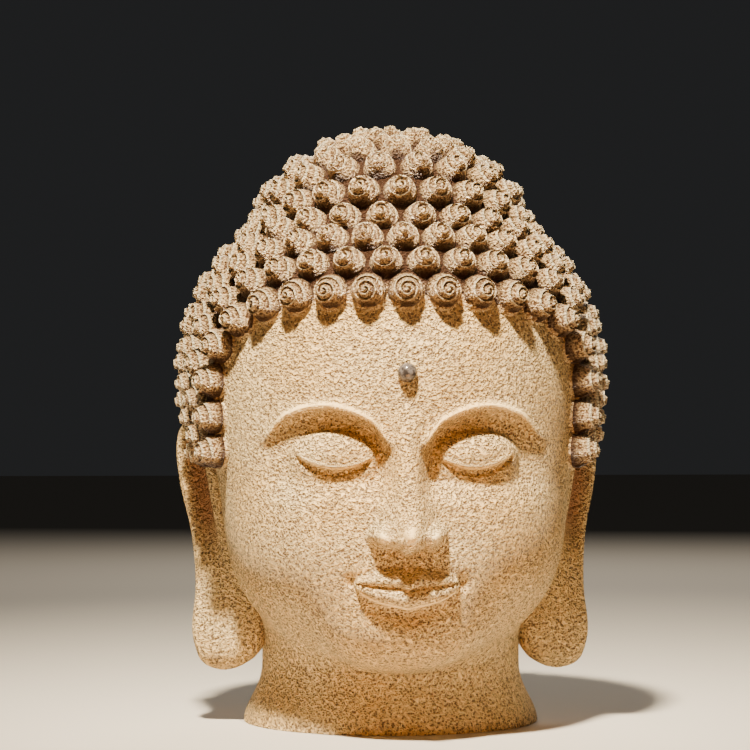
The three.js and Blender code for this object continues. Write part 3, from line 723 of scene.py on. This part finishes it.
def add_curls(carving, places, on_edge):
    """Curls that lean up from the skin, with painted shade on the side that faces down, partly patina."""
    form, faces, hollow = curl_form()
    # Painted shade: the downward side of each curl is coloured darker, as shade falls there, with some
    # patina; the raised line stays lighter.
    underside_shade = smooth(0.0, 0.9, -form[:, 1] / CURL_HALF_WIDTH)
    hollow = np.where(hollow > 0.1, np.maximum(hollow, underside_shade), 0.3 * underside_shade)
    for index, (place, normal) in enumerate(zip(places, skin_normals(places))):
        base = place + normal * CAP_THICKNESS
        share = EDGE_LIFT_SHARE if index in on_edge else CURL_LIFT_SHARE
        axis = normal * (1, 1, share)
        axis /= np.linalg.norm(axis)
        level, up = slope_axes(axis)
        points = base + form[:, 0:1] * level + form[:, 1:2] * up + form[:, 2:3] * axis
        carving.add(points, faces, 1, hollow)


def closed_curve(corners, count):
    """Smooth closed curve through corner points, sampled evenly."""
    corners = np.asarray(corners, float)
    total = len(corners)
    at = np.arange(count) * total / count
    i = np.floor(at).astype(int)
    t = (at - i)[:, None]
    a, b, c, d = (corners[(i + k) % total] for k in (-1, 0, 1, 2))
    square = (2 * a - 5 * b + 4 * c - d) * t ** 2
    cube = (3 * b - a - 3 * c + d) * t ** 3
    return 0.5 * (2 * b + (c - a) * t + square + cube)


def ear_section(share):
    """Level section of the right ear at a share of its height, and the painted shade of each point in the
    ear's hollow.
    """
    skull_side = SKULL["half"][0]
    root = np.array([skull_side + curve(EAR_ROOT_OUT, share), curve(EAR_ROOT_Y, share)])
    rim = np.array([skull_side + curve(EAR_RIM_OUT, share), curve(EAR_RIM_Y, share)])
    half = curve(EAR_THICKNESS, share) / 2
    hollow = curve(EAR_HOLLOW, share)
    along = rim - root
    outward = np.array([along[1], -along[0]]) / np.linalg.norm(along)
    outline = [
        (0, -0.6 * half),
        (0, 0.6 * half),
        (0.2, half),
        (0.4, half - 0.9 * hollow),
        (0.66, half - hollow),
        (0.82, half),
        (0.94, 0.8 * half),
        (1, 0),
        (0.93, -0.8 * half),
        (0.75, -half),
        (0.35, -half),
    ]
    shape = closed_curve(outline, EAR_SPANS)
    flat = root + shape[:, 0:1] * along + shape[:, 1:2] * outward
    z = LOBE_BOTTOM_Z + (EAR_TOP_Z - LOBE_BOTTOM_Z) * share
    # Painted shade: points sunk in the front of the ear's hollow are coloured darker, the more where the
    # hollow is deep.
    ear_shade = np.clip((half - shape[:, 1]) / 8, 0, 1) * (np.arange(EAR_SPANS) < EAR_SPANS * 0.55)
    return np.column_stack([flat, np.full(EAR_SPANS, z)]), ear_shade * np.clip(hollow / 8, 0, 1)


def add_ear(carving, sign):
    """Ear through level rings, closer together at its two ends; sign is 1 on the right, -1 on the left."""
    rings = []
    ear_shade = []
    for k in range(EAR_RINGS):
        share = k / (EAR_RINGS - 1)
        section, depth = ear_section(share - EAR_END_CROWDING * math.sin(2 * math.pi * share))
        rings.append(section)
        ear_shade.append(depth)
    points = np.concatenate(rings)
    points[:, 0] *= sign
    faces = []
    for ring in range(EAR_RINGS - 1):
        for k in range(EAR_SPANS):
            after = (k + 1) % EAR_SPANS
            low = ring * EAR_SPANS
            high = low + EAR_SPANS
            faces.append((low + k, low + after, high + after, high + k))
    top = (EAR_RINGS - 1) * EAR_SPANS
    faces.append(tuple(reversed(range(EAR_SPANS))))
    faces.append(tuple(range(top, top + EAR_SPANS)))
    if sign < 0:
        faces = [tuple(reversed(face)) for face in faces]
    carving.add(points, faces, 0, np.concatenate(ear_shade))


class Recipe:
    """Short calls for the nodes of one material."""

    def __init__(self, name):
        self.material = bpy.data.materials.new(name)
        self.material.use_nodes = True
        self.nodes = self.material.node_tree.nodes
        self.links = self.material.node_tree.links
        self.shader = self.nodes["Principled BSDF"]
        self.place = self.nodes.new("ShaderNodeTexCoord").outputs["Object"]

    def feed(self, socket, value):
        if isinstance(value, bpy.types.NodeSocket):
            self.links.new(value, socket)
        else:
            socket.default_value = value

    def noise(self, scale, detail=2.0):
        node = self.nodes.new("ShaderNodeTexNoise")
        self.feed(node.inputs["Scale"], scale)
        self.feed(node.inputs["Detail"], detail)
        self.feed(node.inputs["Vector"], self.place)
        return node

    def shaken_place(self, scale, amount):
        """Object place, pushed about by noise, so that a pattern on it is irregular."""
        push = self.nodes.new("ShaderNodeVectorMath")
        push.operation = "SCALE"
        self.feed(push.inputs[0], self.noise(scale).outputs["Color"])
        push.inputs["Scale"].default_value = amount
        total = self.nodes.new("ShaderNodeVectorMath")
        total.operation = "ADD"
        self.feed(total.inputs[0], self.place)
        self.feed(total.inputs[1], push.outputs[0])
        return total.outputs[0]

    def cells(self, scale, vector):
        node = self.nodes.new("ShaderNodeTexVoronoi")
        self.feed(node.inputs["Scale"], scale)
        self.feed(node.inputs["Vector"], vector)
        return node.outputs["Distance"]

    def band(self, source, low, high, to_low=0.0, to_high=1.0):
        node = self.nodes.new("ShaderNodeMapRange")
        node.interpolation_type = "SMOOTHSTEP"
        self.feed(node.inputs["Value"], source)
        self.feed(node.inputs["From Min"], low)
        self.feed(node.inputs["From Max"], high)
        self.feed(node.inputs["To Min"], to_low)
        self.feed(node.inputs["To Max"], to_high)
        return node.outputs["Result"]

    def mix(self, share, a, b):
        node = self.nodes.new("ShaderNodeMix")
        node.data_type = "RGBA"
        self.feed(node.inputs[0], share)
        self.feed(node.inputs[6], (*a, 1) if isinstance(a, tuple) else a)
        self.feed(node.inputs[7], (*b, 1) if isinstance(b, tuple) else b)
        return node.outputs[2]

    def maths(self, kind, a, b):
        node = self.nodes.new("ShaderNodeMath")
        node.operation = kind
        self.feed(node.inputs[0], a)
        self.feed(node.inputs[1], b)
        return node.outputs[0]

    def painted(self, name):
        node = self.nodes.new("ShaderNodeAttribute")
        node.attribute_name = name
        return node.outputs["Fac"]

    def bump(self, height, distance):
        node = self.nodes.new("ShaderNodeBump")
        node.inputs["Strength"].default_value = 1.0
        node.inputs["Distance"].default_value = distance
        self.feed(node.inputs["Height"], height)
        return node.outputs["Normal"]


def sandstone_material():
    """Pitted sand-coloured skin and golden brown hair, told apart by the painted values, with painted
    shade in the pits, the ear hollows, the curl grooves, between the curls and on their downward sides,
    and a painted highlight on the curls' worn raised line.
    """
    recipe = Recipe("sandstone")
    hair = recipe.painted("hair")
    # Painted shade and highlight, from 0 lit to 1 full shade, on the curls and in the ear hollows.
    hollow = recipe.painted("hollow")
    worn = recipe.painted("worn")
    shaken = recipe.shaken_place(PIT_SCALE * 1.1, PIT_SHAKE)
    pits = recipe.band(recipe.cells(PIT_SCALE, shaken), 0.22, 0.52)
    lumps = recipe.band(recipe.noise(PIT_SCALE * 0.7, 2.5).outputs["Fac"], 0.4, 0.6)
    rough = recipe.maths("ADD", recipe.maths("MULTIPLY", pits, 0.5), recipe.maths("MULTIPLY", lumps, 0.5))
    rough = recipe.maths("MAXIMUM", rough, worn)
    clouds = recipe.noise(CLOUD_SCALE, 3).outputs["Fac"]
    light_skin = recipe.mix(recipe.band(clouds, 0.3, 0.7), SKIN_WARM, SKIN_PALE)
    # Painted shade: the pits of the grain are coloured darker, besides being bumped.
    skin = recipe.mix(recipe.band(rough, 0.2, 0.72), SKIN_PIT_SHADE, light_skin)
    # Painted shade in the hollows of the ears.
    skin = recipe.mix(hollow, skin, EAR_HOLLOW_SHADE)
    flakes = recipe.noise(FLAKE_SCALE, 3).outputs["Fac"]
    rough_hair = recipe.mix(recipe.band(flakes, 0.40, 0.56), CURL_DARK, CURL_GOLD)
    # Painted highlight on the worn raised line and tip of the curls.
    crest = recipe.mix(recipe.band(hollow, 0.12, 0.4), CURL_LINE_WEAR_AND_HIGHLIGHT, rough_hair)
    # Painted shade in the curls' grooves, at their foot, on the cap between them and on their downward
    # sides.
    curls = recipe.mix(recipe.band(hollow, 0.5, 1.0), crest, CURL_GROOVE_SHADE)
    recipe.feed(recipe.shader.inputs["Base Color"], recipe.mix(hair, skin, curls))
    roughness = recipe.band(hair, 0.0, 1.0, SKIN_ROUGHNESS, HAIR_ROUGHNESS)
    metallic = recipe.band(hair, 0.0, 1.0, 0.0, HAIR_METALLIC)
    recipe.feed(recipe.shader.inputs["Roughness"], roughness)
    recipe.feed(recipe.shader.inputs["Metallic"], metallic)
    hair_lumps = recipe.maths("MULTIPLY", flakes, HAIR_GRAIN)
    height = recipe.nodes.new("ShaderNodeMix")
    recipe.feed(height.inputs[0], hair)
    recipe.feed(height.inputs[2], rough)
    recipe.feed(height.inputs[3], hair_lumps)
    recipe.feed(recipe.shader.inputs["Normal"], recipe.bump(height.outputs[0], GRAIN_DEPTH))
    return recipe.material


def bead_material():
    """Polished grey stone with faint clouds."""
    recipe = Recipe("bead")
    clouds = recipe.band(recipe.noise(BEAD_CLOUD_SCALE, 3).outputs["Fac"], 0.35, 0.65)
    recipe.feed(recipe.shader.inputs["Base Color"], recipe.mix(clouds, BEAD_DARK, BEAD_LIGHT))
    recipe.shader.inputs["Roughness"].default_value = BEAD_ROUGHNESS
    recipe.shader.inputs["Metallic"].default_value = BEAD_METALLIC
    return recipe.material


def add_bead():
    on_skin = skin_at_height([0.0], BEAD_Z)
    middle = (on_skin + skin_normals(on_skin) * BEAD_PROUD)[0]
    ball = bmesh.new()
    radius = BEAD_RADIUS * MM
    bmesh.ops.create_uvsphere(ball, u_segments=BEAD_SEGMENTS, v_segments=BEAD_RINGS, radius=radius)
    bmesh.ops.translate(ball, verts=ball.verts, vec=Vector(middle * MM))
    mesh = bpy.data.meshes.new("forehead_bead")
    ball.to_mesh(mesh)
    ball.free()
    mesh.shade_smooth()
    piece = bpy.data.objects.new("forehead_bead", mesh)
    bpy.context.scene.collection.objects.link(piece)
    return piece


def add_head():
    carving = Carving()
    places, on_edge = curl_places()
    add_skin(carving, places)
    add_curls(carving, places, on_edge)
    add_ear(carving, 1)
    add_ear(carving, -1)
    piece = carving.build("carved_head")
    weld = bmesh.new()
    weld.from_mesh(piece.data)
    bmesh.ops.remove_doubles(weld, verts=weld.verts, dist=WELD_DISTANCE * MM)
    weld.to_mesh(piece.data)
    weld.free()
    piece.data.set_sharp_from_angle(angle=SHARP_ANGLE)
    return piece


def add_floor():
    bpy.ops.mesh.primitive_plane_add(size=FLOOR_SIZE, location=(0, 0, -FLOOR_DROP))
    floor = bpy.context.object
    floor.name = "floor"
    material = bpy.data.materials.new("floor")
    material.use_nodes = True
    shader = material.node_tree.nodes["Principled BSDF"]
    shader.inputs["Base Color"].default_value = (*FLOOR_COLOUR, 1)
    shader.inputs["Roughness"].default_value = FLOOR_ROUGHNESS
    floor.data.materials.append(material)


def add_light(name, place, target, size, watts, colour, spread):
    """Square light that shines at a target and isn't seen itself; spread is its angle in degrees."""
    data = bpy.data.lights.new(name, "AREA")
    data.size = size
    data.energy = watts
    data.color = colour
    data.spread = math.radians(spread)
    light = bpy.data.objects.new(name, data)
    light.location = place
    light.rotation_euler = (Vector(target) - Vector(place)).to_track_quat("-Z", "Y").to_euler()
    light.visible_camera = False
    bpy.context.scene.collection.objects.link(light)


def light_scene():
    for light in LIGHTS:
        add_light(**light)
    world = bpy.data.worlds.new("studio")
    world.use_nodes = True
    background = world.node_tree.nodes["Background"]
    background.inputs["Color"].default_value = (*WORLD_COLOUR, 1)
    background.inputs["Strength"].default_value = WORLD_STRENGTH
    bpy.context.scene.world = world


def add_camera():
    data = bpy.data.cameras.new("camera")
    data.sensor_width = SENSOR
    data.lens = SENSOR * FOCAL_PIXELS / FRAME_PIXELS
    camera = bpy.data.objects.new("camera", data)
    camera.location = (
        -CAMERA_DISTANCE * math.sin(CAMERA_TURN),
        HEAD_MIDDLE_Y * MM - CAMERA_DISTANCE * math.cos(CAMERA_TURN),
        CAMERA_HEIGHT,
    )
    turn = CAMERA_TURN - HEAD_RIGHT_PIXELS / FOCAL_PIXELS
    pitch = HORIZON_LOW_PIXELS / FOCAL_PIXELS
    camera.rotation_euler = (math.pi / 2 + pitch, 0, -turn)
    bpy.context.scene.collection.objects.link(camera)
    bpy.context.scene.camera = camera


def main():
    head = add_head()
    head.data.materials.append(sandstone_material())
    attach(head, "root")
    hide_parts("head")
    bead = add_bead()
    bead.data.materials.append(bead_material())
    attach(bead, "root")
    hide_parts("urna")
    add_floor()
    light_scene()
    add_camera()


main()
